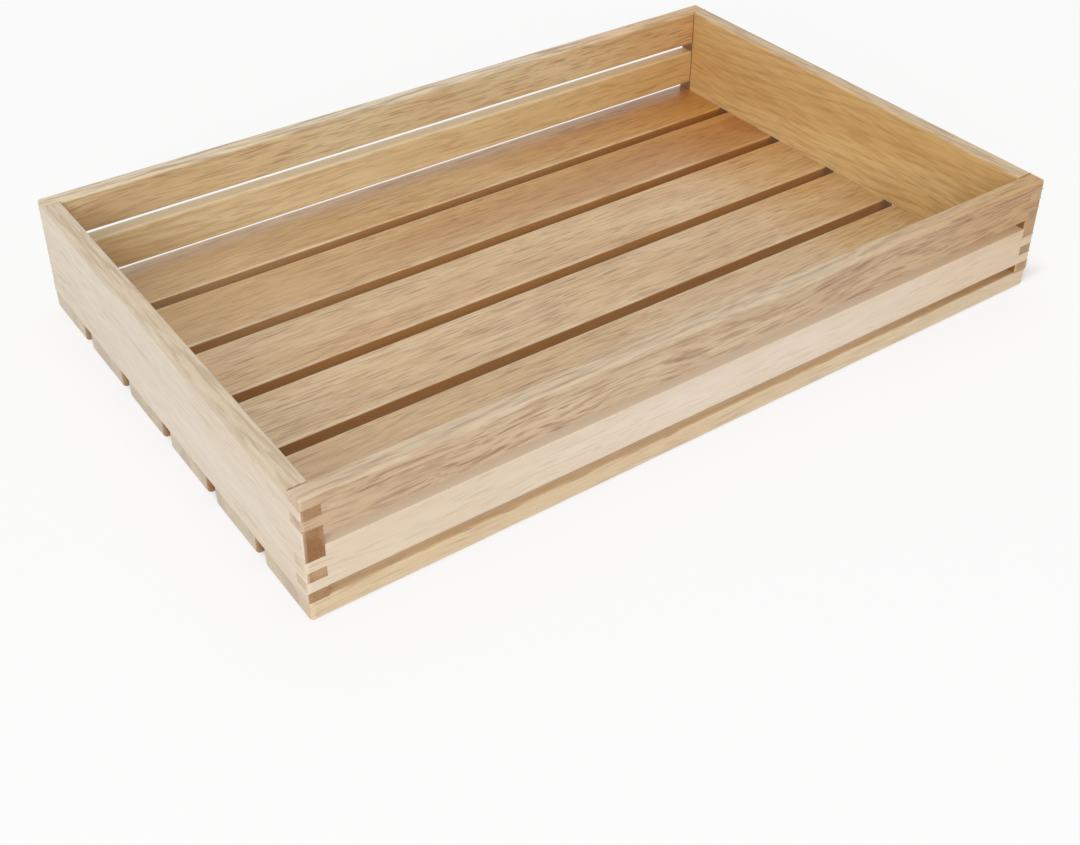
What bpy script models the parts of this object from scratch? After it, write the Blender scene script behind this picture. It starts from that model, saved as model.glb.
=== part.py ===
# Shallow wooden serving crate: two solid end boards, two slats along each long side and a
# slatted floor. The side slats are box-jointed (finger-jointed) into the end boards at all four
# corners, and the floor slats are nailed up into the end boards from below.
# Metres, +Z up. X runs along the crate, -Y is its front, and the origin is the centre of the base.

import math

import bmesh
import bpy
from mathutils import Matrix, Vector

# Overall size
LENGTH = 0.560
DEPTH = 0.360

# Boards, from the floor up
FLOOR_SLAT_THICKNESS = 0.014
LOWER_GAP = 0.007
MIDDLE_SLAT_HEIGHT = 0.028
UPPER_GAP = 0.007
UPPER_SLAT_HEIGHT = 0.028
SIDE_SLAT_THICKNESS = 0.012
END_BOARD_THICKNESS = 0.012

# Floor
FLOOR_SLAT_COUNT = 6
FLOOR_GAP = 0.009

# Corner joints
FINGERS_PER_SLAT = 2
JOINT_GAP = 0.0003
WELD_DISTANCE = 0.00002

# Rounded edges
RIM_RADIUS = 0.002
GAP_EDGE_RADIUS = 0.001
FLOOR_RADIUS = 0.003
ROUND_SEGMENTS = 3

# Floor nails
NAIL_LENGTH = 0.032
NAIL_SHANK_RADIUS = 0.0008
NAIL_HEAD_RADIUS = 0.0016
NAIL_HEAD_THICKNESS = 0.0008
NAIL_POINT_LENGTH = 0.0025
NAIL_SET_DEPTH = 0.001
NAIL_MARGIN = 0.006
NAIL_SIDES = 10
NAIL_CREASE_ANGLE = math.radians(40)
CUT_OVERRUN = 0.002

# Heights and widths that follow from them
MIDDLE_SLAT_BASE = FLOOR_SLAT_THICKNESS + LOWER_GAP
UPPER_SLAT_BASE = MIDDLE_SLAT_BASE + MIDDLE_SLAT_HEIGHT + UPPER_GAP
HEIGHT = UPPER_SLAT_BASE + UPPER_SLAT_HEIGHT
FLOOR_SLAT_WIDTH = (DEPTH - (FLOOR_SLAT_COUNT - 1) * FLOOR_GAP) / FLOOR_SLAT_COUNT
END_BOARD_BASE = FLOOR_SLAT_THICKNESS + JOINT_GAP

UP = Vector((0, 0, 1))


def clear_scene():
    for old in list(bpy.data.objects):
        bpy.data.objects.remove(old)


def add_material(name, colour, roughness, metallic):
    material = bpy.data.materials.new(name)
    material.use_nodes = True
    shader = material.node_tree.nodes["Principled BSDF"]
    shader.inputs["Base Color"].default_value = (*colour, 1)
    shader.inputs["Roughness"].default_value = roughness
    shader.inputs["Metallic"].default_value = metallic
    return material


def end_board_wood():
    return add_material("end_board_wood", (0.72, 0.60, 0.46), roughness=0.5, metallic=0)


def upper_slat_wood():
    return add_material("upper_slat_wood", (0.60, 0.43, 0.27), roughness=0.5, metallic=0)


def middle_slat_wood():
    return add_material("middle_slat_wood", (0.75, 0.63, 0.47), roughness=0.5, metallic=0)


def floor_slat_wood():
    return add_material("floor_slat_wood", (0.60, 0.42, 0.25), roughness=0.5, metallic=0)


def nail_steel():
    return add_material("nail_steel", (0.56, 0.55, 0.53), roughness=0.35, metallic=1)


def add_object(name, bm, material, parent):
    mesh = bpy.data.meshes.new(name)
    bm.to_mesh(mesh)
    bm.free()
    mesh.materials.append(material)
    made = bpy.data.objects.new(name, mesh)
    made.parent = parent
    bpy.context.scene.collection.objects.link(made)
    return made


def near(a, b):
    """True for two places that the smallest step in a board, its joint gap, doesn't part."""
    return abs(a - b) < JOINT_GAP / 2


def blank(length, thickness, height):
    """A plain board centred on X, with its outer face at Y = 0 and its lower edge at Z = 0."""
    bm = bmesh.new()
    middle = Matrix.Translation((0, thickness / 2, height / 2))
    bmesh.ops.create_cube(bm, size=1, matrix=middle @ Matrix.Diagonal((length, thickness, height, 1)))
    return bm


def raise_fingers(bm, rows, reach):
    """Draws the fingers out of both ends of a board, at the heights that rows gives."""
    for level in sorted({level for row in rows for level in row}):
        bmesh.ops.bisect_plane(
            bm,
            geom=bm.verts[:] + bm.edges[:] + bm.faces[:],
            dist=JOINT_GAP / 2,
            plane_co=UP * level,
            plane_no=UP,
        )
    tips = []
    for face in bm.faces:
        middle = face.calc_center_median().z
        if near(abs(face.normal.x), 1) and any(low < middle < high for low, high in rows):
            tips.append(face)
    drawn = bmesh.ops.extrude_discrete_faces(bm, faces=tips)
    for tip in drawn["faces"]:
        bmesh.ops.translate(bm, verts=tip.verts, vec=tip.normal * reach)
    bmesh.ops.recalc_face_normals(bm, faces=bm.faces)


def round_edges(bm, chosen):
    """Marks each edge with its share of the rounding radius, as chosen(middle, direction) gives it."""
    weights = bm.edges.layers.float.new("bevel_weight_edge")
    for edge in bm.edges:
        first, last = (vert.co for vert in edge.verts)
        edge[weights] = chosen((first + last) / 2, last - first)


def add_bevel(board, radius):
    bevel = board.modifiers.new("rounded_edges", "BEVEL")
    bevel.limit_method = "WEIGHT"
    bevel.width = radius
    bevel.segments = ROUND_SEGMENTS


def drill(board, cutter):
    holes = board.modifiers.new("nail_holes", "BOOLEAN")
    holes.operation = "DIFFERENCE"
    holes.object = cutter


def slat_fingers(base, height, first_is_finger):
    """The rows of one side slat's fingers: it holds every other row of its height."""
    row = height / (2 * FINGERS_PER_SLAT)
    start = base if first_is_finger else base + row
    lows = [start + 2 * row * index for index in range(FINGERS_PER_SLAT)]
    return [(low, low + row) for low in lows]


def middle_slat_fingers():
    return slat_fingers(MIDDLE_SLAT_BASE, MIDDLE_SLAT_HEIGHT, first_is_finger=True)


def upper_slat_fingers():
    return slat_fingers(UPPER_SLAT_BASE, UPPER_SLAT_HEIGHT, first_is_finger=False)


def end_board_fingers():
    """What the slats' fingers leave free: the end board's own fingers, clear by the joint gap."""
    rows = []
    low = END_BOARD_BASE
    for slat_low, slat_high in middle_slat_fingers() + upper_slat_fingers():
        if slat_low - JOINT_GAP > low:
            rows.append((low, slat_low - JOINT_GAP))
        low = slat_high + JOINT_GAP
    if low < HEIGHT:
        rows.append((low, HEIGHT))
    return rows


def fingered_board(name, size, reach, base, rows, top_is_rim, has_gap_below, material, parent):
    """A board of size (length with fingers, thickness, height), lying with its outer face at Y = 0.

    Its outer corners and its free long edges are rounded."""
    full_length, thickness, height = size
    rows = [(low - base, high - base) for low, high in rows]
    bm = blank(full_length - 2 * reach, thickness, height)
    raise_fingers(bm, rows, reach)
    body_half = full_length / 2 - reach
    gap_share = GAP_EDGE_RADIUS / RIM_RADIUS

    def rounding(middle, direction):
        at_tip = near(abs(middle.x), full_length / 2)
        on_outer_face = near(middle.y, 0)
        on_top = near(middle.z, height)
        lengthwise = not near(direction.x, 0)
        free_body_edge = (
            lengthwise
            and abs(middle.x) < body_half
            and (on_outer_face or near(middle.y, thickness))
        )
        if at_tip and on_outer_face:
            return 1
        if on_top and top_is_rim:
            return 1 if at_tip or on_outer_face or free_body_edge else 0
        if on_top or (near(middle.z, 0) and has_gap_below):
            return gap_share if free_body_edge else 0
        return 0

    round_edges(bm, rounding)
    board = add_object(name, bm, material, parent)
    add_bevel(board, RIM_RADIUS)
    return board


def side_slat(name, side, base, height, rows, top_is_rim, material, parent):
    """One slat of a long side. side is -1 for the front and 1 for the back."""
    slat = fingered_board(
        name,
        size=(LENGTH, SIDE_SLAT_THICKNESS, height),
        reach=END_BOARD_THICKNESS + JOINT_GAP,
        base=base,
        rows=rows,
        top_is_rim=top_is_rim,
        has_gap_below=True,
        material=material,
        parent=parent,
    )
    slat.location = (0, side * DEPTH / 2, base)
    slat.rotation_euler.z = 0 if side < 0 else math.pi


def middle_slat(word, side, material, parent):
    side_slat(
        f"{word}_middle_slat",
        side,
        base=MIDDLE_SLAT_BASE,
        height=MIDDLE_SLAT_HEIGHT,
        rows=middle_slat_fingers(),
        top_is_rim=False,
        material=material,
        parent=parent,
    )


def upper_slat(word, side, material, parent):
    side_slat(
        f"{word}_upper_slat",
        side,
        base=UPPER_SLAT_BASE,
        height=UPPER_SLAT_HEIGHT,
        rows=upper_slat_fingers(),
        top_is_rim=True,
        material=material,
        parent=parent,
    )


def end_board(word, side, material, parent):
    """One short side, a single wide board. side is -1 for the left and 1 for the right."""
    board = fingered_board(
        f"{word}_end_board",
        size=(DEPTH, END_BOARD_THICKNESS, HEIGHT - END_BOARD_BASE),
        reach=SIDE_SLAT_THICKNESS + JOINT_GAP,
        base=END_BOARD_BASE,
        rows=end_board_fingers(),
        top_is_rim=True,
        has_gap_below=False,
        material=material,
        parent=parent,
    )
    board.location = (side * LENGTH / 2, 0, END_BOARD_BASE)
    board.rotation_euler.z = side * math.pi / 2
    return board


def floor_slat_front(number):
    """The front edge of a floor slat, counted from 1 at the front."""
    return (number - 1) * (FLOOR_SLAT_WIDTH + FLOOR_GAP) - DEPTH / 2


def floor_slat(number, material, parent):
    """A full-length slat. Its underside and end corners are well rounded: hands lift it there."""
    bm = blank(LENGTH, FLOOR_SLAT_WIDTH, FLOOR_SLAT_THICKNESS)

    def rounding(middle, direction):
        upright = not near(direction.z, 0)
        if upright or near(middle.z, 0):
            return 1
        return GAP_EDGE_RADIUS / FLOOR_RADIUS if not near(direction.x, 0) else 0

    round_edges(bm, rounding)
    slat = add_object(f"floor_slat_{number}", bm, material, parent)
    add_bevel(slat, FLOOR_RADIUS)
    slat.location = (0, floor_slat_front(number), 0)
    return slat


def nail_places():
    """Each nail's name and place: two in each end of each floor slat, on the end board's middle."""
    inset = SIDE_SLAT_THICKNESS + NAIL_MARGIN
    across = (LENGTH - END_BOARD_THICKNESS) / 2
    for number in range(1, FLOOR_SLAT_COUNT + 1):
        front = floor_slat_front(number)
        for end, x in (("left", -across), ("right", across)):
            yield f"floor_nail_{number}_{end}_front", Vector((x, front + inset, 0))
            yield f"floor_nail_{number}_{end}_back", Vector((x, front + FLOOR_SLAT_WIDTH - inset, 0))


def nail_profile(clearance, foot):
    """Radius and height of a nail standing on its head, or of the hole it needs, from the foot up."""
    head_top = NAIL_SET_DEPTH + NAIL_HEAD_THICKNESS + clearance
    tip = NAIL_SET_DEPTH + NAIL_LENGTH + clearance
    head = NAIL_HEAD_RADIUS + clearance
    shank = NAIL_SHANK_RADIUS + clearance
    point_foot = tip - NAIL_POINT_LENGTH
    return [(0, foot), (head, foot), (head, head_top), (shank, head_top), (shank, point_foot), (0, tip)]


def turn(bm, profile, place):
    """Spins a profile, given from its foot to its tip, about the upright axis at place."""
    points = [bm.verts.new(place + Vector((radius, 0, height))) for radius, height in profile]
    lines = [bm.edges.new(pair) for pair in zip(points, points[1:])]
    bmesh.ops.spin(
        bm,
        geom=points + lines,
        cent=place,
        axis=UP,
        angle=2 * math.pi,
        steps=NAIL_SIDES,
        use_merge=True,
    )


def close_turned(bm):
    bmesh.ops.remove_doubles(bm, verts=bm.verts, dist=WELD_DISTANCE)
    bmesh.ops.recalc_face_normals(bm, faces=bm.faces)


def floor_nail(name, place, material, parent):
    bm = bmesh.new()
    turn(bm, nail_profile(0, NAIL_SET_DEPTH), Vector())
    close_turned(bm)
    nail = add_object(name, bm, material, parent)
    nail.location = place
    nail.data.shade_smooth()
    nail.data.set_sharp_from_angle(angle=NAIL_CREASE_ANGLE)
    return nail


def nail_hole_cutter(material, parent):
    """One helper shape for every nail hole: countersunk below, clear of the shank above."""
    bm = bmesh.new()
    for _, place in nail_places():
        turn(bm, nail_profile(JOINT_GAP, -CUT_OVERRUN), place)
    close_turned(bm)
    cutter = add_object("nail_hole_cutter", bm, material, parent)
    cutter.hide_render = True
    cutter.display_type = "WIRE"
    return cutter


def build_crate():
    clear_scene()
    crate = bpy.data.objects.new("serving_crate", None)
    bpy.context.scene.collection.objects.link(crate)

    upper_wood = upper_slat_wood()
    middle_wood = middle_slat_wood()
    for word, side in (("front", -1), ("back", 1)):
        middle_slat(word, side, middle_wood, crate)
        upper_slat(word, side, upper_wood, crate)

    floor_wood = floor_slat_wood()
    end_wood = end_board_wood()
    nailed = [floor_slat(number, floor_wood, crate) for number in range(1, FLOOR_SLAT_COUNT + 1)]
    nailed.append(end_board("left", -1, end_wood, crate))
    nailed.append(end_board("right", 1, end_wood, crate))

    steel = nail_steel()
    cutter = nail_hole_cutter(steel, crate)
    for board in nailed:
        drill(board, cutter)
    for name, place in nail_places():
        floor_nail(name, place, steel, crate)


build_crate()
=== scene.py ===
import math

import bmesh
import bpy
from mathutils import Matrix, Vector


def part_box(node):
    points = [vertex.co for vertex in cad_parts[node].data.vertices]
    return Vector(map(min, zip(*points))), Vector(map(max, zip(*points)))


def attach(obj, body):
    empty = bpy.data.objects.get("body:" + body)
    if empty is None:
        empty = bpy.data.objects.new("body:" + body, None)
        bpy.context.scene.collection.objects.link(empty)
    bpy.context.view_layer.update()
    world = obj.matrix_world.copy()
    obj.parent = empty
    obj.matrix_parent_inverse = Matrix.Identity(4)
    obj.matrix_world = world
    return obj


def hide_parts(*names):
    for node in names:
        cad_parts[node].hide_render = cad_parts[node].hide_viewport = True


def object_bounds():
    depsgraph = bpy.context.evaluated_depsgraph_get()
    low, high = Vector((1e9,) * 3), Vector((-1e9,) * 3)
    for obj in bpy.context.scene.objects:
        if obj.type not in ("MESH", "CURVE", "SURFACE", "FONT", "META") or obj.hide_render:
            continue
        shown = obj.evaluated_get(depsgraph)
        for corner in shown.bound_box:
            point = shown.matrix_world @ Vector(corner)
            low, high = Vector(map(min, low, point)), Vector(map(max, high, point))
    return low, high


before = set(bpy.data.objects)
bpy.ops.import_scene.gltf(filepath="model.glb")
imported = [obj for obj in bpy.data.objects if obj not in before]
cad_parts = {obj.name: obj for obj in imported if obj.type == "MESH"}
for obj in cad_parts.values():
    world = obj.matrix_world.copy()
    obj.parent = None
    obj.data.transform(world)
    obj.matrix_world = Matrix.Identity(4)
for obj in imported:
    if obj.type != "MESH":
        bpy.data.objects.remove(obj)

packed_low, packed_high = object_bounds()


# Floor slats
# Six full-length slats of oiled hardwood with finger-wide gaps between them. Each is planed, well
# rounded below where hands lift the crate, and drilled twice near each end for its nails.

MILLIMETRE = 0.001
SLAT_COUNT = 6
ROUND_SEGMENTS = 4
SMOOTH_ANGLE = math.radians(30)
FLOOR_RADIUS = 3 * MILLIMETRE
FLOOR_TOP_RADIUS = 1 * MILLIMETRE
HOLE_RADIUS = 1.1 * MILLIMETRE
COUNTERSINK_RADIUS = 1.9 * MILLIMETRE
COUNTERSINK_DEPTH = 2 * MILLIMETRE
HOLE_SIDES = 16

# The pith lies Heart Depth beneath the one slat that shows the dark heart, and Outer Depth more
# beneath the others
HEART_SLAT = 5
HEART_DEPTH = 14 * MILLIMETRE
OUTER_DEPTH = 40 * MILLIMETRE

# How far apart in the trunk, in metres, the slats are cut, and how much their tone varies
CUT_SPREAD = (1, 0.3, 0.3)
TONE_SPREAD = 0.3
FLOOR_SEED = 14896

# Places this close are the same, and a face whose normal lies this much on an axis is square to it
SAME_PLACE = 0.01 * MILLIMETRE
SQUARE_FACE = 0.999

slat_low, slat_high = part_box("floor_slat_1")
next_low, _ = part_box("floor_slat_2")
nail_low, nail_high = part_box("floor_nail_1_left_front")
slat_length = slat_high.x - slat_low.x
slat_width = slat_high.y - slat_low.y
slat_thickness = slat_high.z - slat_low.z
slat_pitch = next_low.y - slat_low.y
nail_across = (nail_low.x + nail_high.x) / 2
nail_inset = (nail_low.y + nail_high.y) / 2 - slat_low.y

# The faces that the floor's marks keep to, measured from the crate's middle
outer_y = packed_high.y
inner_y = -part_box("front_middle_slat")[1].y
inner_x = -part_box("left_end_board")[1].x

# Patterns in the wood: the length and width of their patches in millimetres, their detail and their
# seed. Those that come and go have two more numbers, the noise levels between which they fade in.
SWAY = (220, 60, 1, 0)
CURL = (45, 18, 1, 2.9)
LIFT = (120, 50, 1, 7.3)
RAGGED = (30, 3, 2, 12.4)
CLEAR_RINGS = (160, 30, 1, 3.1, 0.3, 0.65)
DRIFT = (140, 22, 2, 1.7, 0.3, 0.7)
WARMTH = (240, 50, 1, 9.2, 0.35, 0.65)
FLAME = (14, 12, 2, 4.4)
FIBRE = (50, 1.3, 3, 5.5)
STREAK = (30, 2.4, 2, 14.2, 0.46, 0.68)
PORE = (24, 1.1, 1, 8.8, 0.52, 0.7)
DENSE_PORES = (90, 20, 1, 2.2, 0.3, 0.6)
END_SPECK = (20, 1.1, 2, 6.1, 0.45, 0.7)
SOAKED_END = (200, 20, 1, 17.7, 0.42, 0.6)
RUBBED_EDGE = (50, 20, 2, 11, 0.35, 0.65)
PATTERN_ROUGHNESS = 0.55

# The rings' profile from one to the next, and the shape of the heartwood and of its dark core
RING_STOPS = [(0, 0.1), (0.5, 0.25), (0.86, 1), (1, 0.1)]
HEART_EDGE = 1.2 * MILLIMETRE
CORE_ASIDE = 12 * MILLIMETRE
CORE_SLANT = 0.7

# How strongly the fine patterns show
TONE_WARMTH = 1.5
FULL_TONE = 0.5
TONE_CONTRAST = 0.6
SPARSE_PORES = 0.4
SPECK_SHARE = 0.3
SOAKED_SHARE = 0.45

# How rough the wood is, and how its patterns change that and stand out from it
ROUGHNESS = 0.42
FIBRE_ROUGHNESS = 0.2
PORE_ROUGHNESS = 0.15
END_ROUGHNESS = 0.2
RUBBED_SMOOTHNESS = 0.06
FIBRE_RELIEF = 0.5
PORE_RELIEF = 0.8
RING_RELIEF = 0.15
RELIEF_DEPTH = 0.1 * MILLIMETRE
RELIEF_STRENGTH = 0.5
COAT_ROUGHNESS = 0.3
WOOD_IOR = 1.5

# How squarely a face looks along an axis where it begins to count as turned that way, and where
# it counts in full
END_TURN = (0.6, 0.9)
EDGE_FACE_TURN = (0.45, 0.9)
PLANED_TURN = (0.6, 0.95)
HIDDEN_TURN = (0.15, 0.5)

# How far from its face, in millimetres, each mark begins to show and shows in full
END_GRAIN_FADE = (-1.5, -0.5)
CORE_FADE = (-25, -22)
EDGE_FACE_FADE = (0, -1)
STRIP_INNER_FADE = (-1.4, -0.4)
STRIP_OUTER_FADE = (-0.4, -1.5)
STRIP_FRONT_FADE = (0, -100)
GOLDEN_END_FADE = (40, 300)
SHEEN_END_FADE = (0, -260)
SHEEN_BACK_FADE = (0, 130)
JOINT_SHADE_TOP_FADE = (-1.5, -3)
JOINT_SHADE_END_FADE = (100, 250)
JOINT_SHADE_INSIDE_FADE = (4, 2)
HIDDEN_FADE = (-6, 2)


class Wire:
    """A node's output. Sums on it add their Math nodes, and node() adds any other kind."""

    def __init__(self, tree, socket=None):
        self.tree = tree
        self.socket = socket

    def node(self, kind, settings=None, inputs=None, output=0):
        made = self.tree.nodes.new(kind)
        for name, value in (settings or {}).items():
            if name == "stops":
                for index, (position, grey) in enumerate(value):
                    # A new ramp already has two stops
                    if index > 1:
                        made.color_ramp.elements.new(position)
                    made.color_ramp.elements[index].position = position
                    made.color_ramp.elements[index].color = (grey, grey, grey, 1)
            else:
                setattr(made, name, value)
        self.feed(made, inputs or {})
        return Wire(self.tree, made.outputs[output])

    def feed(self, made, inputs):
        """Gives a node's sockets their values or links."""
        for name, value in inputs.items():
            if isinstance(value, Wire):
                self.tree.links.new(value.socket, made.inputs[name])
            else:
                made.inputs[name].default_value = value

    def maths(self, operation, *values):
        return self.node("ShaderNodeMath", {"operation": operation}, dict(enumerate(values)))

    def vector(self, operation, *values):
        return self.node("ShaderNodeVectorMath", {"operation": operation}, dict(enumerate(values)))

    def mix(self, share, first, second, blend="MIX"):
        """A colour part of the way from first to second.

        0, 6 and 7 are the Mix node's factor and its two colour sockets."""
        kind = {"data_type": "RGBA", "blend_type": blend}
        return self.node("ShaderNodeMix", kind, {0: share, 6: first, 7: second}, output=2)

    def axis(self, name):
        return self.node("ShaderNodeSeparateXYZ", {}, {0: self}, output=name)

    def size(self):
        """The value without its sign."""
        return self.maths("ABSOLUTE", self)

    def step(self, low, high):
        """0 below low, 1 above high, and a smooth climb between them."""
        return self.node(
            "ShaderNodeMapRange",
            {"interpolation_type": "SMOOTHSTEP"},
            {"Value": self, "From Min": low, "From Max": high},
        )

    def fade(self, face, edge):
        """How much of a mark shows at this distance. edge says how far from the face, in
        millimetres, it begins and is full."""
        begins, full = edge
        return self.step(face + begins * MILLIMETRE, face + full * MILLIMETRE)

    def __add__(self, other):
        return self.maths("ADD", self, other)

    def __radd__(self, other):
        return self.maths("ADD", other, self)

    def __sub__(self, other):
        return self.maths("SUBTRACT", self, other)

    def __rsub__(self, other):
        return self.maths("SUBTRACT", other, self)

    def __mul__(self, other):
        return self.maths("MULTIPLY", self, other)

    def __rmul__(self, other):
        return self.maths("MULTIPLY", other, self)

    def __truediv__(self, other):
        return self.maths("DIVIDE", self, other)


def shade(red, green, blue):
    """A colour as it looks on paper, 0 to 255 each, for a node's colour socket."""
    steps = [value / 255 for value in (red, green, blue)]
    return (*[v / 12.92 if v < 0.04045 else ((v + 0.055) / 1.055) ** 2.4 for v in steps], 1)


def pattern(grain, kind):
    """One of the wood's patterns: noise whose patches are drawn out along the grain."""
    length, width, detail, seed, *levels = kind
    along, across = 1 / (length * MILLIMETRE), 1 / (width * MILLIMETRE)
    stretched = grain.vector("MULTIPLY", grain, (along, across, across))
    moved = grain.vector("ADD", stretched, (seed, seed, seed))
    noise = grain.node(
        "ShaderNodeTexNoise",
        {},
        {"Vector": moved, "Scale": 1, "Detail": detail, "Roughness": PATTERN_ROUGHNESS},
    )
    return noise.step(*levels) if levels else noise


def swing(grain, kind):
    """The same pattern, but from -0.5 to 0.5."""
    return pattern(grain, kind) - 0.5


class Timber:
    """A board's wood while its material is made: what each point is like, and its colour so far.

    along is the axis that the grain runs on; look holds the wood's colours and measures."""

    def __init__(self, title, along, look):
        self.look = look
        self.material = bpy.data.materials.new(title)
        self.material.use_nodes = True
        self.start = start = Wire(self.material.node_tree)

        # Where in the trunk each point was cut from, and how far it lies from the pith
        place = start.node("ShaderNodeTexCoord", output="Object")
        normal = start.node("ShaderNodeTexCoord", output="Normal")
        self.x, self.y, self.z = (place.axis(name) for name in "XYZ")
        cut, pith = (
            start.node("ShaderNodeAttribute", {"attribute_name": name}, output="Vector")
            for name in ("cut", "pith")
        )
        self.tone, rounded = (
            start.node("ShaderNodeAttribute", {"attribute_name": name}, output="Fac")
            for name in ("tone", "rounded")
        )
        order = (self.x, self.y, self.z) if along == "X" else (self.y, self.x, self.z)
        board = start.node("ShaderNodeCombineXYZ", {}, dict(enumerate(order)))
        self.along = board.axis("X")
        self.trunk = trunk = start.vector("ADD", board, cut)
        sway = swing(trunk, SWAY) * look["sway"] + swing(trunk, CURL) * look["curl"]
        lift = swing(trunk, LIFT) * look["sway"]
        bend = start.node("ShaderNodeCombineXYZ", {}, {"Y": sway, "Z": lift})
        self.grain = start.vector("ADD", trunk, bend)
        off_pith = start.vector("SUBTRACT", board, pith)
        self.side = off_pith.axis("Y") + sway + self.along * look["lean"][0]
        rise = off_pith.axis("Z") + lift + self.along * look["lean"][1]
        self.radius = start.maths("SQRT", self.side * self.side + rise * rise)

        # Where it is end grain, an edge face turned along the look's edge axis, or rubbed round
        tip = self.along.size().fade(look["tip"], END_GRAIN_FADE)
        self.end_face = normal.axis(along).size().step(*END_TURN) * tip
        self.turned = normal.axis(look["edge_face_axis"]).size()
        self.inner = place.axis(look["edge_face_axis"]).size().fade(look["edge_face_reach"], EDGE_FACE_FADE)
        self.edge_face = self.turned.step(*EDGE_FACE_TURN) * self.inner
        self.rubbed = rounded * pattern(trunk, RUBBED_EDGE)

    def lay(self, mask, share, tint):
        """Lays the look's share of a tint over the colour where the mask shows."""
        self.colour = self.start.mix(mask * self.look[share], self.colour, self.look[tint])

    def growth(self):
        """The colour as the tree grew it: drifts, heartwood, rings, fine fibres and pores."""
        look, start, grain, trunk = self.look, self.start, self.grain, self.trunk
        ragged = swing(grain, RAGGED) * look["ragged"]
        heart = (self.radius + ragged).step(look["heart"] + HEART_EDGE, look["heart"] - HEART_EDGE)
        core = self.along + ragged - (self.side - CORE_ASIDE).size() * CORE_SLANT
        core = core.fade(inner_x, CORE_FADE) * heart
        ring = start.maths("FRACT", self.radius / look["ring_width"])
        ring = start.node("ShaderNodeValToRGB", {"stops": RING_STOPS}, {0: ring})
        self.ring = ring * pattern(trunk, CLEAR_RINGS)
        self.fibre = pattern(grain, FIBRE)
        density = pattern(trunk, DENSE_PORES) * (1 - SPARSE_PORES) + SPARSE_PORES
        self.pore = pattern(grain, PORE) * density
        warm = pattern(grain, WARMTH) * look["warm_share"] + self.tone * TONE_WARMTH
        darker = (self.fibre - 0.5) * look["fibre_share"]
        darker += swing(trunk, FLAME) * look["flame_share"] + self.tone
        paler = 0 - darker

        self.colour = start.mix(pattern(grain, DRIFT), look["pale"], look["mid"])
        self.colour = start.mix(warm, self.colour, look["warm"])
        self.lay(heart, "heart_share", "heart_colour")
        self.lay(core, "core_share", "core")
        self.lay(self.ring, "ring_share", "deep")
        for amount, tint in ((darker, "deep"), (paler, "light")):
            share = amount.step(0, FULL_TONE) * TONE_CONTRAST
            self.colour = start.mix(share, self.colour, look[tint])
        self.lay(pattern(grain, STREAK), "streak_share", "deep")
        self.lay(self.pore, "pore_share", "pore")

    def finished(self):
        """The material: the colour under a thin lacquer, with a slight relief of the grain."""
        rough = ROUGHNESS + (self.fibre - 0.5) * FIBRE_ROUGHNESS + self.pore * PORE_ROUGHNESS
        rough += self.end_face * END_ROUGHNESS - self.rubbed * RUBBED_SMOOTHNESS
        relief = self.fibre * FIBRE_RELIEF - self.pore * PORE_RELIEF + self.ring * RING_RELIEF
        bump = {"Height": relief, "Strength": RELIEF_STRENGTH, "Distance": RELIEF_DEPTH}
        finish = {
            "Base Color": self.colour,
            "Roughness": rough,
            "Normal": self.start.node("ShaderNodeBump", {}, bump),
            "IOR": WOOD_IOR,
            "Coat Weight": (1 - self.edge_face) * self.look["lacquer"],
            "Coat Roughness": COAT_ROUGHNESS,
        }
        self.start.feed(self.material.node_tree.nodes["Principled BSDF"], finish)
        return self.material


def wood(title, along, look, marks):
    """Planed and oiled hardwood, with the marks that making and use have left on it."""
    timber = Timber(title, along, look)
    timber.growth()
    for mark in marks:
        mark(timber)
    return timber.finished()


def end_grain(timber, extra=0):
    """End grain drinks more oil: it is darker, and its pores are dots."""
    look = timber.look
    soaked = pattern(timber.trunk, SOAKED_END) * SOAKED_SHARE + extra
    share = pattern(timber.grain, END_SPECK) * SPECK_SHARE + soaked
    tint = timber.start.mix(share, look["end"], look["end_pore"])
    timber.colour = timber.start.mix(timber.end_face, timber.colour, tint)


def edge_shade_and_sheen(timber):
    """Painted shade on the floor's gap walls, and painted sheen on other boards' tops and bottoms.
    """
    timber.lay(timber.edge_face, "edge_face_share", "edge_face")


def planed_edges(timber):
    """The outer edges are planed, and have kept their colour."""
    timber.lay(timber.turned.step(*PLANED_TURN) * (1 - timber.inner), "planed_share", "planed")


def rubbed_edges(timber):
    """Rounded edges are rubbed smooth and a little paler."""
    timber.lay(timber.rubbed, "rubbed_share", "light")


def beside_faces(timber):
    """1 within the thickness of the long sides, just short of their inner and outer faces."""
    off_centre = timber.y.size()
    inside = off_centre.fade(inner_y, STRIP_INNER_FADE)
    return inside * off_centre.fade(outer_y, STRIP_OUTER_FADE)


def painted_strip_shade(timber):
    """Painted shade: the floor's strip under the front slats takes one even, darker colour."""
    strip_shade = beside_faces(timber) * timber.y.fade(0, STRIP_FRONT_FADE)
    timber.lay(strip_shade, "strip_shade_share", "strip_shade")


def painted_golden_end(timber):
    """Painted golden towards the right end: warm light reflected from the honey right end board."""
    golden_share = timber.y * timber.look["gold_slope"] + timber.look["gold_share"]
    golden_share = timber.x.fade(0, GOLDEN_END_FADE) * golden_share
    timber.colour = timber.start.mix(golden_share, timber.colour, timber.look["gold"], "MULTIPLY")


def painted_sheen_corner(timber):
    """A painted sheen on the back left of the floor, though not on its end grain."""
    back_left_sheen = timber.x.fade(0, SHEEN_END_FADE) * timber.y.fade(0, SHEEN_BACK_FADE)
    timber.lay(back_left_sheen * (1 - timber.end_face), "sheen_share", "light")


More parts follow.
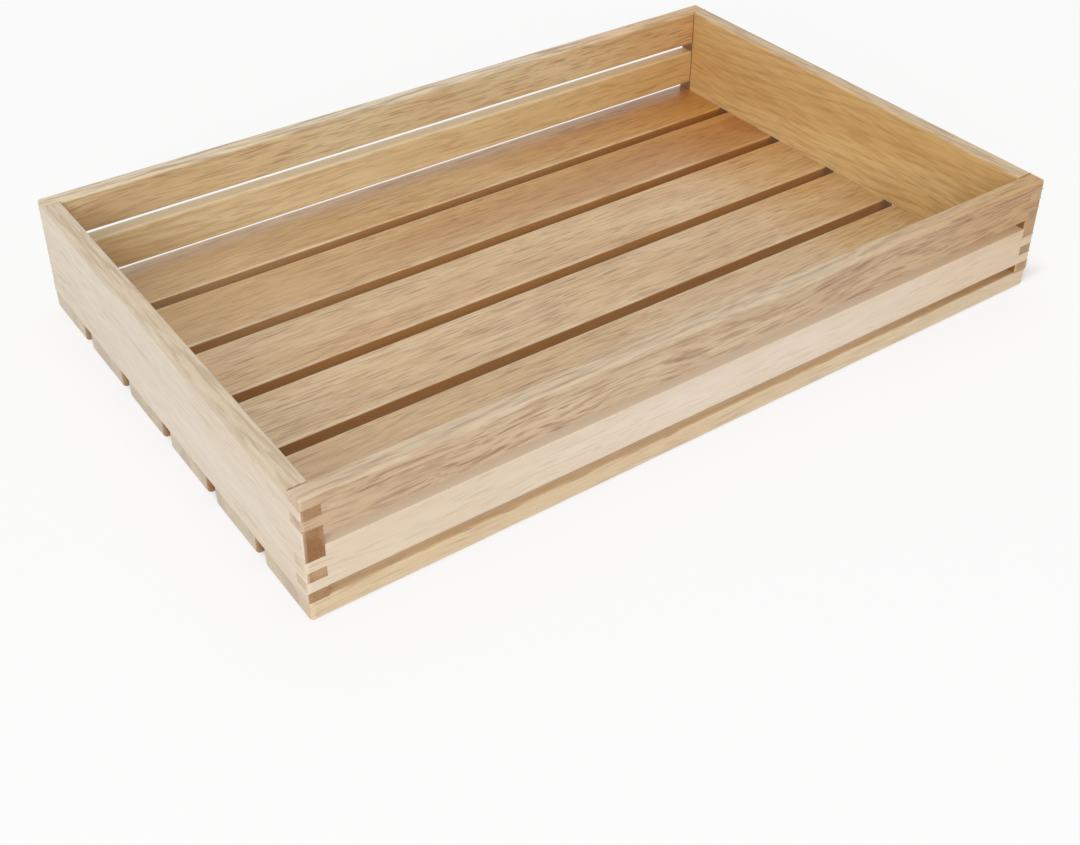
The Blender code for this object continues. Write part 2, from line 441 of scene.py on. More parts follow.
def joint_shade(timber):
    """Painted shade near where the right end board meets the side slats, within their thickness."""
    shade_near_joint = beside_faces(timber) * timber.z.fade(packed_high.z, JOINT_SHADE_TOP_FADE)
    shade_near_joint *= timber.x.fade(0, JOINT_SHADE_END_FADE) * timber.x.fade(inner_x, JOINT_SHADE_INSIDE_FADE)
    timber.lay(shade_near_joint, "joint_shade_share", "corner")


def hidden_edge_shade(timber):
    """Painted shade on the gap walls beneath the end boards."""
    hidden_shade = timber.x.size().fade(inner_x, HIDDEN_FADE) * timber.inner
    timber.lay(hidden_shade * timber.turned.step(*HIDDEN_TURN), "hidden_shade_share", "corner")


def near(a, b):
    """Whether two lengths, or two shares, are the same but for rounding."""
    return abs(a - b) < SAME_PLACE


def in_scene(name, data):
    """A new object in the scene, made of a mesh, a light's data or a camera's."""
    made = bpy.data.objects.new(name, data)
    bpy.context.collection.objects.link(made)
    return made


def from_bmesh(name, bm):
    """A new object in the scene from a finished bmesh, which is freed."""
    mesh = bpy.data.meshes.new(name)
    bm.to_mesh(mesh)
    bm.free()
    return in_scene(name, mesh)


def board_mesh(name, outline, thickness, rounding, radius):
    """A board drawn as its outline (along, up), thickness deep, with its edges rounded.

    rounding(middle, direction) gives an edge's share of radius."""
    bm = bmesh.new()
    face = bm.faces.new([bm.verts.new((along, 0, up)) for along, up in outline])
    grown = bmesh.ops.extrude_face_region(bm, geom=[face], use_keep_orig=True)
    moved = [item for item in grown["geom"] if isinstance(item, bmesh.types.BMVert)]
    bmesh.ops.translate(bm, verts=moved, vec=(0, thickness, 0))
    bmesh.ops.recalc_face_normals(bm, faces=bm.faces)
    weights = bm.edges.layers.float.new("bevel_weight_edge")
    for edge in bm.edges:
        first, last = (vert.co for vert in edge.verts)
        edge[weights] = rounding((first + last) / 2, last - first)
    board = from_bmesh(name, bm)
    bevel = board.modifiers.new("rounded edges", "BEVEL")
    bevel.limit_method = "WEIGHT"
    bevel.width = radius
    bevel.segments = ROUND_SEGMENTS
    bevel.use_clamp_overlap = False
    return board


def applied(piece):
    """Replaces the piece's mesh by what its modifiers make of it."""
    evaluated = piece.evaluated_get(bpy.context.evaluated_depsgraph_get())
    mesh = bpy.data.meshes.new_from_object(evaluated)
    piece.modifiers.clear()
    piece.data = mesh
    return piece


def mark_rounded(piece):
    """Marks every face that is part of a rounded edge, and shades those smoothly."""
    mesh = piece.data
    rounded = mesh.attributes.new("rounded", "FLOAT", "FACE")
    for polygon in mesh.polygons:
        square = max(abs(value) for value in polygon.normal) > SQUARE_FACE
        rounded.data[polygon.index].value = 0 if square else 1
        polygon.use_smooth = True
    mesh.set_sharp_from_angle(angle=SMOOTH_ANGLE)
    even = piece.modifiers.new("flat faces stay flat", "WEIGHTED_NORMAL")
    even.keep_sharp = True
    applied(piece)


def slat_rounding(middle, direction):
    """Full rounding below and at the ends' upright edges, and a fine one along the top."""
    upright = not near(direction.z, 0)
    if upright or near(middle.z, 0):
        return 1
    return FLOOR_TOP_RADIUS / FLOOR_RADIUS if not near(direction.x, 0) else 0


def hole_cutter():
    """One countersunk nail hole at each of a slat's four nail places."""
    bm = bmesh.new()
    for side in (-1, 1):
        for y in (nail_inset, slat_width - nail_inset):
            for radius, low, high in (
                (COUNTERSINK_RADIUS, -COUNTERSINK_DEPTH, COUNTERSINK_DEPTH),
                (HOLE_RADIUS, 0, slat_thickness * 2),
            ):
                place = Matrix.Translation((side * nail_across, y, (low + high) / 2))
                bmesh.ops.create_cone(
                    bm,
                    cap_ends=True,
                    segments=HOLE_SIDES,
                    radius1=radius,
                    radius2=radius,
                    depth=high - low,
                    matrix=place,
                )
    return from_bmesh("nail holes", bm)


half = slat_length / 2
slat_outline = [(-half, 0), (half, 0), (half, slat_thickness), (-half, slat_thickness)]
slat = board_mesh("one floor slat", slat_outline, slat_width, slat_rounding, FLOOR_RADIUS)
cutter = hole_cutter()
drill = slat.modifiers.new("nail holes", "BOOLEAN")
drill.operation = "DIFFERENCE"
drill.object = cutter
drill.use_self = True
applied(slat)
mark_rounded(slat)
bpy.data.objects.remove(cutter)

# A look holds a wood's colours, the share of each that shows where its mark is full, and how it
# grew. tip is how far from the middle the board ends. Edge faces along its edge axis, out to its
# reach, take painted shade on the floor and a painted sheen on the other boards.
floor_look = {
    "light": shade(240, 224, 190),
    "pale": shade(217, 188, 143),
    "mid": shade(205, 168, 118),
    "warm": shade(202, 156, 91),
    "deep": shade(160, 113, 65),
    "pore": shade(118, 76, 42),
    "end": shade(196, 174, 138),
    "end_pore": shade(156, 124, 86),
    # The edge faces' colour, painted shade for the walls of the gaps between the slats
    "edge_face": shade(180, 130, 74),
    "planed": shade(209, 183, 144),
    "heart_colour": shade(184, 134, 86),
    "core": shade(176, 110, 56),
    # The strip colour is painted shade, for the floor's top under the front slats
    "strip_shade": shade(206, 175, 134),
    # The corner colour is painted shade, for the right end's joints and the gap walls under the end
    # boards
    "corner": shade(120, 76, 40),
    # The gold tint is painted reflected light from the honey right end board
    "gold": shade(242, 212, 157),
    "warm_share": 0.5,
    "fibre_share": 0.7,
    "flame_share": 0.3,
    "streak_share": 0.4,
    "pore_share": 0.55,
    "ring_share": 0.28,
    "heart_share": 0.5,
    "core_share": 0.45,
    "edge_face_share": 0.85,
    "planed_share": 0.6,
    "rubbed_share": 0.3,
    "strip_shade_share": 0.7,
    "joint_shade_share": 0.25,
    "hidden_shade_share": 0.6,
    # Painted sheen on the floor's back left corner
    "sheen_share": 0.22,
    "gold_share": 0.4,
    "gold_slope": 5,
    "lacquer": 1,
    "tip": half,
    "edge_face_axis": "Y",
    "edge_face_reach": outer_y - 1.5 * MILLIMETRE,
    "ring_width": 6.5 * MILLIMETRE,
    "heart": 30 * MILLIMETRE,
    "ragged": 6 * MILLIMETRE,
    "sway": 12 * MILLIMETRE,
    "curl": 2 * MILLIMETRE,
    "lean": (0.02, -0.04),
}


def new_tree(name, inputs):
    """An empty Geometry Nodes tree with these named inputs, and a Wire from each of them."""
    tree = bpy.data.node_groups.new(name, "GeometryNodeTree")
    for title, kind in inputs.items():
        tree.interface.new_socket(title, in_out="INPUT", socket_type=f"NodeSocket{kind}")
    tree.interface.new_socket("Geometry", in_out="OUTPUT", socket_type="NodeSocketGeometry")
    given = tree.nodes.new("NodeGroupInput")
    return tree, [Wire(tree, given.outputs[title]) for title in inputs]


def ended_tree(tree, copies, material):
    """The same tree, ended: its copies are made real and are given their material."""
    start = Wire(tree)
    real = start.node("GeometryNodeRealizeInstances", {}, {"Geometry": copies})
    dressed = start.node("GeometryNodeSetMaterial", {}, {"Geometry": real, "Material": material})
    result = tree.nodes.new("NodeGroupOutput")
    tree.links.new(dressed.socket, result.inputs["Geometry"])
    return tree


def slatted_floor_tree(material):
    """A row of slats, each with its own cut from the trunk and its own tone.

    Only the Heart Slat is cut near the pith; the others lie Outer Depth further out."""
    inputs = {
        "Slat": "Object",
        "Count": "Int",
        "Pitch": "Float",
        "Front": "Float",
        "Heart Slat": "Int",
        "Heart Depth": "Float",
        "Outer Depth": "Float",
        "Seed": "Int",
    }
    tree, given = new_tree("slatted floor", inputs)
    slat_object, count, pitch, front, heart_slat, heart_depth, outer_depth, seed = given
    start = Wire(tree)
    first = start.node("ShaderNodeCombineXYZ", {}, {"Y": front})
    step = start.node("ShaderNodeCombineXYZ", {}, {"Y": pitch})
    row = start.node(
        "GeometryNodeMeshLine",
        {"mode": "OFFSET"},
        {"Count": count, "Start Location": first, "Offset": step},
    )
    one = start.node("GeometryNodeObjectInfo", {}, {"Object": slat_object}, output="Geometry")
    slats = start.node("GeometryNodeInstanceOnPoints", {}, {"Points": row, "Instance": one})
    spot = start.node("GeometryNodeInputPosition")
    number = start.node("GeometryNodeInputIndex") + 1
    is_heart = start.maths("COMPARE", number, heart_slat, 0.5)
    depth = heart_depth + (1 - is_heart) * outer_depth
    centre = start.node("ShaderNodeCombineXYZ", {}, {"Y": slat_width / 2, "Z": 0 - depth})
    least = tuple(-spread for spread in CUT_SPREAD)
    random = {"Min": least, "Max": CUT_SPREAD, "Seed": seed}
    cut = start.node("FunctionNodeRandomValue", {"data_type": "FLOAT_VECTOR"}, random)
    # 2 and 3 are the sockets for the least and the greatest plain number
    random = {2: -TONE_SPREAD, 3: TONE_SPREAD, "Seed": seed}
    tone = start.node("FunctionNodeRandomValue", {"data_type": "FLOAT"}, random, output=1)
    for name, kind, value in (
        ("cut", "FLOAT_VECTOR", cut),
        ("pith", "FLOAT_VECTOR", start.vector("ADD", spot, centre)),
        ("tone", "FLOAT", tone),
    ):
        slats = start.node(
            "GeometryNodeStoreNamedAttribute",
            {"data_type": kind, "domain": "INSTANCE"},
            {"Geometry": slats, "Name": name, "Value": value},
        )
    return ended_tree(tree, slats, material)


def grow(name, tree, values):
    """A new object that a tree makes from the values of its named inputs, as a plain mesh."""
    piece = in_scene(name, bpy.data.meshes.new(name))
    modifier = piece.modifiers.new(name, "NODES")
    modifier.node_group = tree
    for item in tree.interface.items_tree:
        if item.in_out == "INPUT":
            modifier[item.identifier] = values[item.name]
    return applied(piece)


floor_marks = (
    end_grain, edge_shade_and_sheen, planed_edges, rubbed_edges, painted_strip_shade, painted_golden_end, painted_sheen_corner,
    joint_shade, hidden_edge_shade,
)
floor_wood = wood("oiled floor slat wood", "X", floor_look, floor_marks)
floor = grow(
    "slatted_floor",
    slatted_floor_tree(floor_wood),
    {
        "Slat": slat,
        "Count": SLAT_COUNT,
        "Pitch": slat_pitch,
        "Front": slat_low.y,
        "Heart Slat": HEART_SLAT,
        "Heart Depth": HEART_DEPTH,
        "Outer Depth": OUTER_DEPTH,
        "Seed": FLOOR_SEED,
    },
)
bpy.data.objects.remove(slat)
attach(floor, "root")
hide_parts(*[f"floor_slat_{number}" for number in range(1, SLAT_COUNT + 1)])


# Floor nails
# Twenty-four drawn steel nails, two through each end of each slat into the end board above. Their
# heads are driven just below the wood so that nothing scratches the table.

NAIL_HEAD_RADIUS = 1.6 * MILLIMETRE
NAIL_SHANK_RADIUS = 0.8 * MILLIMETRE
NAIL_HEAD_THICKNESS = 0.8 * MILLIMETRE
NAIL_DOME = 0.2 * MILLIMETRE
NAIL_POINT_LENGTH = 2.5 * MILLIMETRE
NAIL_SIDES = 16
NAIL_SMOOTH_ANGLE = math.radians(40)
NAIL_SEED = 1

# Out to this share of the head's radius, its dome has only this share of its height
NAIL_FLAT = 0.6
NAIL_FLAT_RISE = 0.3

# The steel's finish, with the scale and the detail of its two patterns
STEEL_ROUGHNESS = 0.3
SCRATCHES = (4000, 1)
SCRATCH_DEPTH = 0.02 * MILLIMETRE
SCRATCH_STRENGTH = 0.3
TARNISH = (900, 3)
TARNISH_FADE = (0.4, 0.7)
TARNISH_ROUGHNESS = 0.3


def nail_mesh():
    """A nail standing on its head at the origin, turned from its profile."""
    length = nail_high.z - nail_low.z
    profile = [
        (0, 0),
        (NAIL_HEAD_RADIUS * NAIL_FLAT, NAIL_DOME * NAIL_FLAT_RISE),
        (NAIL_HEAD_RADIUS, NAIL_DOME),
        (NAIL_HEAD_RADIUS, NAIL_HEAD_THICKNESS),
        (NAIL_SHANK_RADIUS, NAIL_HEAD_THICKNESS),
        (NAIL_SHANK_RADIUS, length - NAIL_POINT_LENGTH),
        (0, length),
    ]
    bm = bmesh.new()
    points = [bm.verts.new((radius, 0, height)) for radius, height in profile]
    lines = [bm.edges.new(pair) for pair in zip(points, points[1:])]
    bmesh.ops.spin(
        bm,
        geom=points + lines,
        cent=(0, 0, 0),
        axis=(0, 0, 1),
        angle=2 * math.pi,
        steps=NAIL_SIDES,
        use_merge=True,
    )
    bmesh.ops.remove_doubles(bm, verts=bm.verts, dist=SAME_PLACE)
    bmesh.ops.recalc_face_normals(bm, faces=bm.faces)
    nail = from_bmesh("one nail", bm)
    nail.data.shade_smooth()
    nail.data.set_sharp_from_angle(angle=NAIL_SMOOTH_ANGLE)
    return nail


def drawn_steel():
    """Grey steel wire, tarnished in patches and finely scratched."""
    material = bpy.data.materials.new("drawn nail steel")
    material.use_nodes = True
    start = Wire(material.node_tree)
    place = start.node("ShaderNodeTexCoord", output="Object")
    tarnish, scratch = (
        start.node("ShaderNodeTexNoise", {}, {"Vector": place, "Scale": scale, "Detail": detail})
        for scale, detail in (TARNISH, SCRATCHES)
    )
    bump = {"Height": scratch, "Strength": SCRATCH_STRENGTH, "Distance": SCRATCH_DEPTH}
    clean, dull = shade(176, 174, 170), shade(128, 122, 114)
    finish = {
        "Base Color": start.mix(tarnish.step(*TARNISH_FADE), clean, dull),
        "Roughness": STEEL_ROUGHNESS + tarnish * TARNISH_ROUGHNESS,
        "Normal": start.node("ShaderNodeBump", {}, bump),
        "Metallic": 1,
    }
    start.feed(material.node_tree.nodes["Principled BSDF"], finish)
    return material


def nail_rows_tree(material):
    """Four nails under each slat: a grid of points with a nail on each."""
    inputs = {
        "Nail": "Object",
        "Slats": "Int",
        "Slat Pitch": "Float",
        "Front Nail": "Vector",
        "Nail Spread": "Vector",
        "Seed": "Int",
    }
    tree, given = new_tree("nail rows", inputs)
    nail_object, slats, pitch, corner, spread, seed = given
    start = Wire(tree)
    step = start.node("ShaderNodeCombineXYZ", {}, {"Y": pitch})
    across = start.node("ShaderNodeCombineXYZ", {}, {"X": spread.axis("X")})
    along = start.node("ShaderNodeCombineXYZ", {}, {"Y": spread.axis("Y")})
    row = start.node(
        "GeometryNodeMeshLine",
        {"mode": "OFFSET"},
        {"Count": slats, "Start Location": corner, "Offset": step},
    )
    for offset in (across, along):
        other = start.node(
            "GeometryNodeTransform", {}, {"Geometry": row, "Translation": offset}
        )
        joined = tree.nodes.new("GeometryNodeJoinGeometry")
        tree.links.new(row.socket, joined.inputs[0])
        tree.links.new(other.socket, joined.inputs[0])
        row = Wire(tree, joined.outputs[0])
    turn = start.node(
        "FunctionNodeRandomValue",
        {"data_type": "FLOAT_VECTOR"},
        {"Min": (0, 0, 0), "Max": (0, 0, 2 * math.pi), "Seed": seed},
    )
    one = start.node("GeometryNodeObjectInfo", {}, {"Object": nail_object}, output="Geometry")
    nails = start.node(
        "GeometryNodeInstanceOnPoints", {}, {"Points": row, "Instance": one, "Rotation": turn}
    )
    return ended_tree(tree, nails, material)


nail = nail_mesh()
nails = grow(
    "floor_nails",
    nail_rows_tree(drawn_steel()),
    {
        "Nail": nail,
        "Slats": SLAT_COUNT,
        "Slat Pitch": slat_pitch,
        "Front Nail": (nail_across, slat_low.y + nail_inset, nail_low.z),
        "Nail Spread": (-2 * nail_across, slat_width - 2 * nail_inset, 0),
        "Seed": NAIL_SEED,
    },
)
bpy.data.objects.remove(nail)
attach(nails, "root")
nail_nodes = [
    f"floor_nail_{number}_{end}_{side}"
    for number in range(1, SLAT_COUNT + 1)
    for end in ("left", "right")
    for side in ("front", "back")
]
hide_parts(*nail_nodes)


# End boards
# One wide, solid hardwood board closes each short side, pale on the left and honey on the right.
# Fingers are cut down both of its upright edges, one for each space that the side slats' fingers
# leave, and glued flush with them.

RIM_RADIUS = 2 * MILLIMETRE
FRONT_GAP_EDGE_RADIUS = 0.5 * MILLIMETRE
BACK_GAP_EDGE_RADIUS = 2 * MILLIMETRE
FINGER_EDGE_RADIUS = 0.04 * MILLIMETRE
GLUE_LINE = 0.02 * MILLIMETRE

# A side slat is this many fingers high
SLAT_FINGERS = 4

# The pattern on the worn rim, and how far from its face, in millimetres, each mark shows
WORN_RIM = (35, 2.6, 2, 21.3, 0.4, 0.65)
WIDE_FINGER_FADE = (1, -1)
RIM_FADE = (-4, -0.5)
CREST_FOOT_FADE = (-29, -9)
CREST_TOP_FADE = (-0.5, -2)

# A reach in metres beyond every face, for a board whose top and bottom all take the painted sheen
WHOLE_BOARD = 1

end_low, end_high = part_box("left_end_board")
middle_low, middle_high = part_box("front_middle_slat")
upper_low, upper_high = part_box("front_upper_slat")
finger = (upper_high.z - upper_low.z) / SLAT_FINGERS
end_thickness = end_high.x - end_low.x
side_thickness = upper_high.y - upper_low.y
full_length = upper_high.x - upper_low.x
full_depth = end_high.y - end_low.y
base = slat_thickness + GLUE_LINE
middle_rows = [
    (middle_low.z, middle_low.z + finger),
    (middle_low.z + 2 * finger, middle_low.z + 3 * finger),
]
upper_rows = [
    (upper_low.z + finger, upper_low.z + 2 * finger),
    (upper_high.z - finger, upper_high.z),
]


def end_rows():
    """The end boards' fingers: what the slats' fingers leave free, less the glue lines."""
    rows = []
    low = base
    for slat_finger_low, slat_finger_high in middle_rows + upper_rows:
        rows.append((low, slat_finger_low - GLUE_LINE))
        low = slat_finger_high + GLUE_LINE
    return rows


def fingered_outline(half, reach, low, high, rows):
    """The outline of a board from low to high whose ends step out by reach at each row."""
    inner = half - reach
    right = [(inner, low)]
    for row_low, row_high in rows:
        right += [(inner, row_low), (half, row_low), (half, row_high), (inner, row_high)]
    right.append((inner, high))
    right = [point for point, before in zip(right, [None] + right) if point != before]
    if near(rows[0][0], low):
        right = right[1:]
    if near(rows[-1][1], high):
        right = right[:-1]
    left = [(-along, up) for along, up in reversed(right)]
    return right + left


def fingered_rounding(half, reach, low, high, top_share, bottom_share):
    """Full rounding down the outer corners, the given shares along the top and bottom edges."""
    fine = FINGER_EDGE_RADIUS / RIM_RADIUS

    def rounding(middle, direction):
        on_outer_face = near(middle.y, 0)
        at_tip = near(abs(middle.x), half)
        free_body_edge = not near(direction.x, 0) and abs(middle.x) < half - reach
        if at_tip and on_outer_face:
            return 1
        if near(middle.z, high):
            if near(top_share, 1):
                return 1 if at_tip or on_outer_face or free_body_edge else fine
            return top_share if free_body_edge else fine
        if near(middle.z, low):
            return bottom_share if free_body_edge else fine
        return fine

    return rounding


def fit(board, name, cut, pith, material, matrix, slot):
    """Rounds a board off for good, says where in the trunk it grew, and sets it in its place."""
    mark_rounded(board)
    mesh = board.data
    for title, place in (("cut", cut), ("pith", pith)):
        places = mesh.attributes.new(title, "FLOAT_VECTOR", "POINT")
        places.data.foreach_set("vector", list(place) * len(mesh.vertices))
    mesh.transform(matrix)
    mesh.materials.clear()
    mesh.materials.append(material)
    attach(board, "root")
    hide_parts(name)


def end_board(name, side, cut, pith, material):
    """One short side. side is -1 for the left and 1 for the right."""
    half, reach = full_depth / 2, side_thickness + GLUE_LINE
    outline = fingered_outline(half, reach, base, end_high.z, end_rows())
    rounding = fingered_rounding(half, reach, base, end_high.z, 1, 0)
    board = applied(board_mesh(name, outline, end_thickness, rounding, RIM_RADIUS))
    # Where a fine rounding meets a full one it can overshoot the fingers' tips
    for vertex in board.data.vertices:
        vertex.co.x = max(-half, min(half, vertex.co.x))
    turn = Matrix.Rotation(side * math.pi / 2, 4, "Z")
    matrix = Matrix.Translation((side * full_length / 2, 0, 0)) @ turn
    fit(board, name, cut, pith, material, matrix, "end_board_wood")


def finger_end_grain(timber):
    """The fingers' end grain, darkest on the wide finger."""
    middle = (middle_high.z + upper_low.z) / 2
    wide = (timber.z - middle).size().fade(upper_low.z + finger - middle, WIDE_FINGER_FADE)
    end_grain(timber, wide * timber.look["wide_share"])


def worn_rim(timber):
    """Hands have opened the pores along the rim and polished the wood between them."""
    rim = timber.z.fade(end_high.z, RIM_FADE)
    worn = pattern(timber.grain, WORN_RIM)
    timber.lay(rim * worn, "rim_share", "pore")
    timber.lay(rim * (1 - worn), "rim_light", "light")


def pale_crest(timber):
    """The right end board is a little paler towards its top."""
    foot = timber.z.fade(end_high.z, CREST_FOOT_FADE)
    timber.lay(foot * timber.z.fade(end_high.z, CREST_TOP_FADE), "crest_share", "light")


cream_look = {
    **floor_look,
    "light": shade(234, 222, 206),
    "pale": shade(228, 213, 196),
    "mid": shade(221, 203, 180),
    "warm": shade(218, 198, 168),
    "deep": shade(196, 170, 136),
    "pore": shade(172, 146, 116),
    "end": shade(180, 146, 104),
    "end_pore": shade(140, 88, 34),
    "heart_colour": shade(206, 184, 148),
    "warm_share": 0.4,
    "fibre_share": 0.45,
    "flame_share": 0.12,
    "streak_share": 0.12,
    "pore_share": 0.3,
    "ring_share": 0.22,
    "heart_share": 0.85,
    "core_share": 0,
    "wide_share": 0.45,
    "rim_share": 0.5,
    "rim_light": 0.25,
    "gold_slope": 0,
    "lacquer": 0.3,
    "tip": full_depth / 2,
    "ring_width": 8 * MILLIMETRE,
    "heart": 24 * MILLIMETRE,
    "ragged": 12 * MILLIMETRE,
    "sway": 14 * MILLIMETRE,
    "lean": (0, 0),
}
cream_marks = (finger_end_grain, worn_rim, rubbed_edges)
honey_look = {
    **cream_look,
    "light": shade(245, 218, 166),
    "pale": shade(237, 206, 147),
    "mid": shade(227, 190, 125),
    "warm": shade(223, 182, 111),
    "deep": shade(176, 128, 70),
    "pore": shade(144, 100, 58),
    "end": shade(186, 150, 110),
    "end_pore": shade(146, 108, 70),
    # The edge faces' colour here is a painted sheen on the board's top and bottom
    "edge_face": shade(192, 171, 143),
    "heart_colour": shade(206, 156, 92),
    "streak_share": 0.35,
    "ring_share": 0.4,
    "heart_share": 0.3,
    "edge_face_share": 0.85,
    "rubbed_share": 0.05,
    "wide_share": 0.1,
    "rim_share": 0.32,
    "rim_light": 0.2,
    "crest_share": 0.13,
    # Painted shade in the right end board's joints with the side slats
    "joint_shade_share": 0.85,
    "edge_face_axis": "Z",
    "edge_face_reach": WHOLE_BOARD,
    "heart": 310 * MILLIMETRE,
    "sway": 12 * MILLIMETRE,
    "lean": (0, 0.15),
}
honey_marks = (finger_end_grain, edge_shade_and_sheen, worn_rim, pale_crest, rubbed_edges, joint_shade)
end_board(
    "left_end_board",
    side=-1,
    cut=(0.31, 0.02, 0.05),
    pith=(0, -0.274, 0.102),
    material=wood("pale end board wood", "Y", cream_look, cream_marks),
)
end_board(
    "right_end_board",
    side=1,
    cut=(0.77, -0.28, 0.02),
    pith=(0, 0.32, 0.35),
    material=wood("honey end board wood", "Y", honey_look, honey_marks),
)


# Middle slats
# A hardwood slat runs along each long side, cream at the front and golden at the back. Both of its
# ends are cut into two fingers that pass through the end boards and are glued there.


def side_slat(name, side, low, high, rows, cut, pith, material, slot):
    """One slat of a long side, from low to high. side is -1 for the front and 1 for the back."""
    half, reach = full_length / 2, end_thickness + GLUE_LINE
    outline = fingered_outline(half, reach, low, high, rows)
    gap_share = (FRONT_GAP_EDGE_RADIUS if side < 0 else BACK_GAP_EDGE_RADIUS) / RIM_RADIUS
    top_share = 1 if near(high, end_high.z) else gap_share
    rounding = fingered_rounding(half, reach, low, high, top_share, gap_share)
    board = applied(board_mesh(name, outline, side_thickness, rounding, RIM_RADIUS))
    turn = Matrix.Rotation(0 if side < 0 else math.pi, 4, "Z")
    matrix = Matrix.Translation((0, side * full_depth / 2, 0)) @ turn
    fit(board, name, cut, pith, material, matrix, slot)


cream_slat_look = {
    **cream_look,
    "end": shade(220, 200, 172),
    "end_pore": shade(190, 160, 126),
    # The edge faces' colour here is a painted sheen on the slat's top and bottom
    "edge_face": shade(244, 226, 200),
    "ring_share": 0.12,
    "edge_face_share": 0.9,
    "tip": full_length / 2,
    "edge_face_axis": "Z",
    "edge_face_reach": WHOLE_BOARD,
    "heart": 1 * MILLIMETRE,
}
gold_slat_look = {
    **honey_look,
    "light": shade(240, 222, 184),
    "pale": shade(233, 212, 171),
    "mid": shade(224, 200, 155),
    "warm": shade(220, 191, 133),
    "end": shade(228, 212, 190),
    "end_pore": shade(206, 184, 156),
    # The edge faces' colour here is a painted sheen on the slat's top and bottom
    "edge_face": shade(240, 223, 190),
    "ring_share": 0.3,
    "edge_face_share": 0.8,
    "rubbed_share": 0.3,
    "gold_share": 0.6,
    "tip": full_length / 2,
    "heart": 1 * MILLIMETRE,
    "lean": (0, 0),
}
middle_marks = (end_grain, edge_shade_and_sheen, rubbed_edges, painted_golden_end)
middle_slat = {
    "low": middle_low.z,
    "high": middle_high.z,
    "rows": middle_rows,
    "slot": "middle_slat_wood",
}
side_slat(
    "front_middle_slat",
    side=-1,
    cut=(0.4, 0.22, 0.03),
    pith=(0, -0.13, 0.03),
    material=wood("cream middle slat wood", "X", cream_slat_look, middle_marks),
    **middle_slat,
)
side_slat(
    "back_middle_slat",
    side=1,
    cut=(0.1, -0.1, 0.02),
    pith=(0, 0.23, 0.02),
    material=wood("golden middle slat wood", "X", gold_slat_look, middle_marks),
    **middle_slat,
)


# Upper slats
# A darker slat with open pores tops each long side, tan at the front and amber at the back. Its
# upper edge is the crate's rim, rounded in one with the end boards', and its two fingers at each
# end are glued through them.

tan_look = {
    **floor_look,
    "light": shade(220, 204, 174),
    "pale": shade(208, 186, 152),
    "mid": shade(196, 167, 132),
    "warm": shade(199, 164, 130),
    "deep": shade(158, 119, 88),
    "pore": shade(128, 92, 68),
    "end": shade(206, 180, 152),
    "end_pore": shade(168, 134, 104),
    # The edge faces' colour here is a painted sheen on the slat's top and bottom
    "edge_face": shade(208, 188, 158),
    "flame_share": 0.5,
    "streak_share": 0.65,
    "pore_share": 0.65,
    "core_share": 0,
    "edge_face_share": 0.4,
    "rim_share": 0.2,
    "rim_light": 0.45,
    "gold_share": 0.85,
    "gold_slope": 0,
    "lacquer": 0.3,
    "edge_face_axis": "Z",
    "edge_face_reach": WHOLE_BOARD,
    "heart": 1 * MILLIMETRE,
    "sway": 20 * MILLIMETRE,
    "curl": 4 * MILLIMETRE,
    "lean": (0.05, 0.01),
}
amber_look = {
    **gold_slat_look,
    "light": shade(237, 221, 189),
    "pale": shade(229, 213, 177),
    "mid": shade(222, 198, 155),
    "warm": shade(222, 192, 143),
    "deep": shade(176, 140, 98),
    "pore": shade(140, 98, 58),
    # The edge faces' colour here is a painted sheen on the slat's top and bottom
    "edge_face": shade(216, 199, 174),
    "gold": shade(244, 214, 176),
    "pore_share": 0.5,
    "ring_share": 0.4,
    "rim_share": 0.55,
    "rim_light": 0.3,
    "gold_share": 0.9,
    "lean": (0.04, 0),
}
upper_marks = (end_grain, edge_shade_and_sheen, worn_rim, rubbed_edges, painted_golden_end)
upper_slat = {
    "low": upper_low.z,
    "high": upper_high.z,
    "rows": upper_rows,
    "slot": "upper_slat_wood",
}
side_slat(
    "front_upper_slat",
    side=-1,
    cut=(0.9, 0.2, -0.05),
    pith=(0, -0.12, 0.07),
    material=wood("tan upper slat wood", "X", tan_look, upper_marks),
    **upper_slat,
)
side_slat(
    "back_upper_slat",
    side=1,
    cut=(0.2, -0.15, -0.03),
    pith=(0, 0.22, 0.06),
    material=wood("amber upper slat wood", "X", amber_look, upper_marks),
    **upper_slat,
)


# The room
# A white table, a large soft light from the front left, a weaker one overhead, and even light from
# all round. The camera looks down along the crate from over its near left corner.

TABLE_HALF = 6.0
TABLE_GREY = 0.9
TABLE_GLOW = 0.8
ROOM_TINT = (1, 0.99, 0.975, 1)
ROOM_STRENGTH = 0.62
WHITE = (1, 1, 1, 1)

# How far from the crate's sides, in millimetres, the shaded table begins and is wholly in shade
SHADED_DEPTH_FADE = (0, -8)
SHADED_LEFT_FADE = (0, 8)
SHADED_RIGHT_FADE = (40, 5)

CAMERA_PLACE = Vector((-0.5079, -0.7004, 0.5782))
CAMERA_TILT = math.radians(90 - 34.322)
CAMERA_TURN = math.radians(-35.630)
CAMERA_ROLL = math.radians(0.332)
LENS = 50.26
FILM_WIDTH = 36
SHIFT_UP = -0.1042


def seen_itself(start):
    """1 where the camera, a reflection or clear glass sees a thing, 0 where it lights others."""
    kinds = ("Is Camera Ray", "Is Glossy Ray", "Is Transmission Ray")
    camera, glossy, clear = (start.node("ShaderNodeLightPath", output=kind) for kind in kinds)
    return start.maths("MINIMUM", camera + glossy + clear, 1)


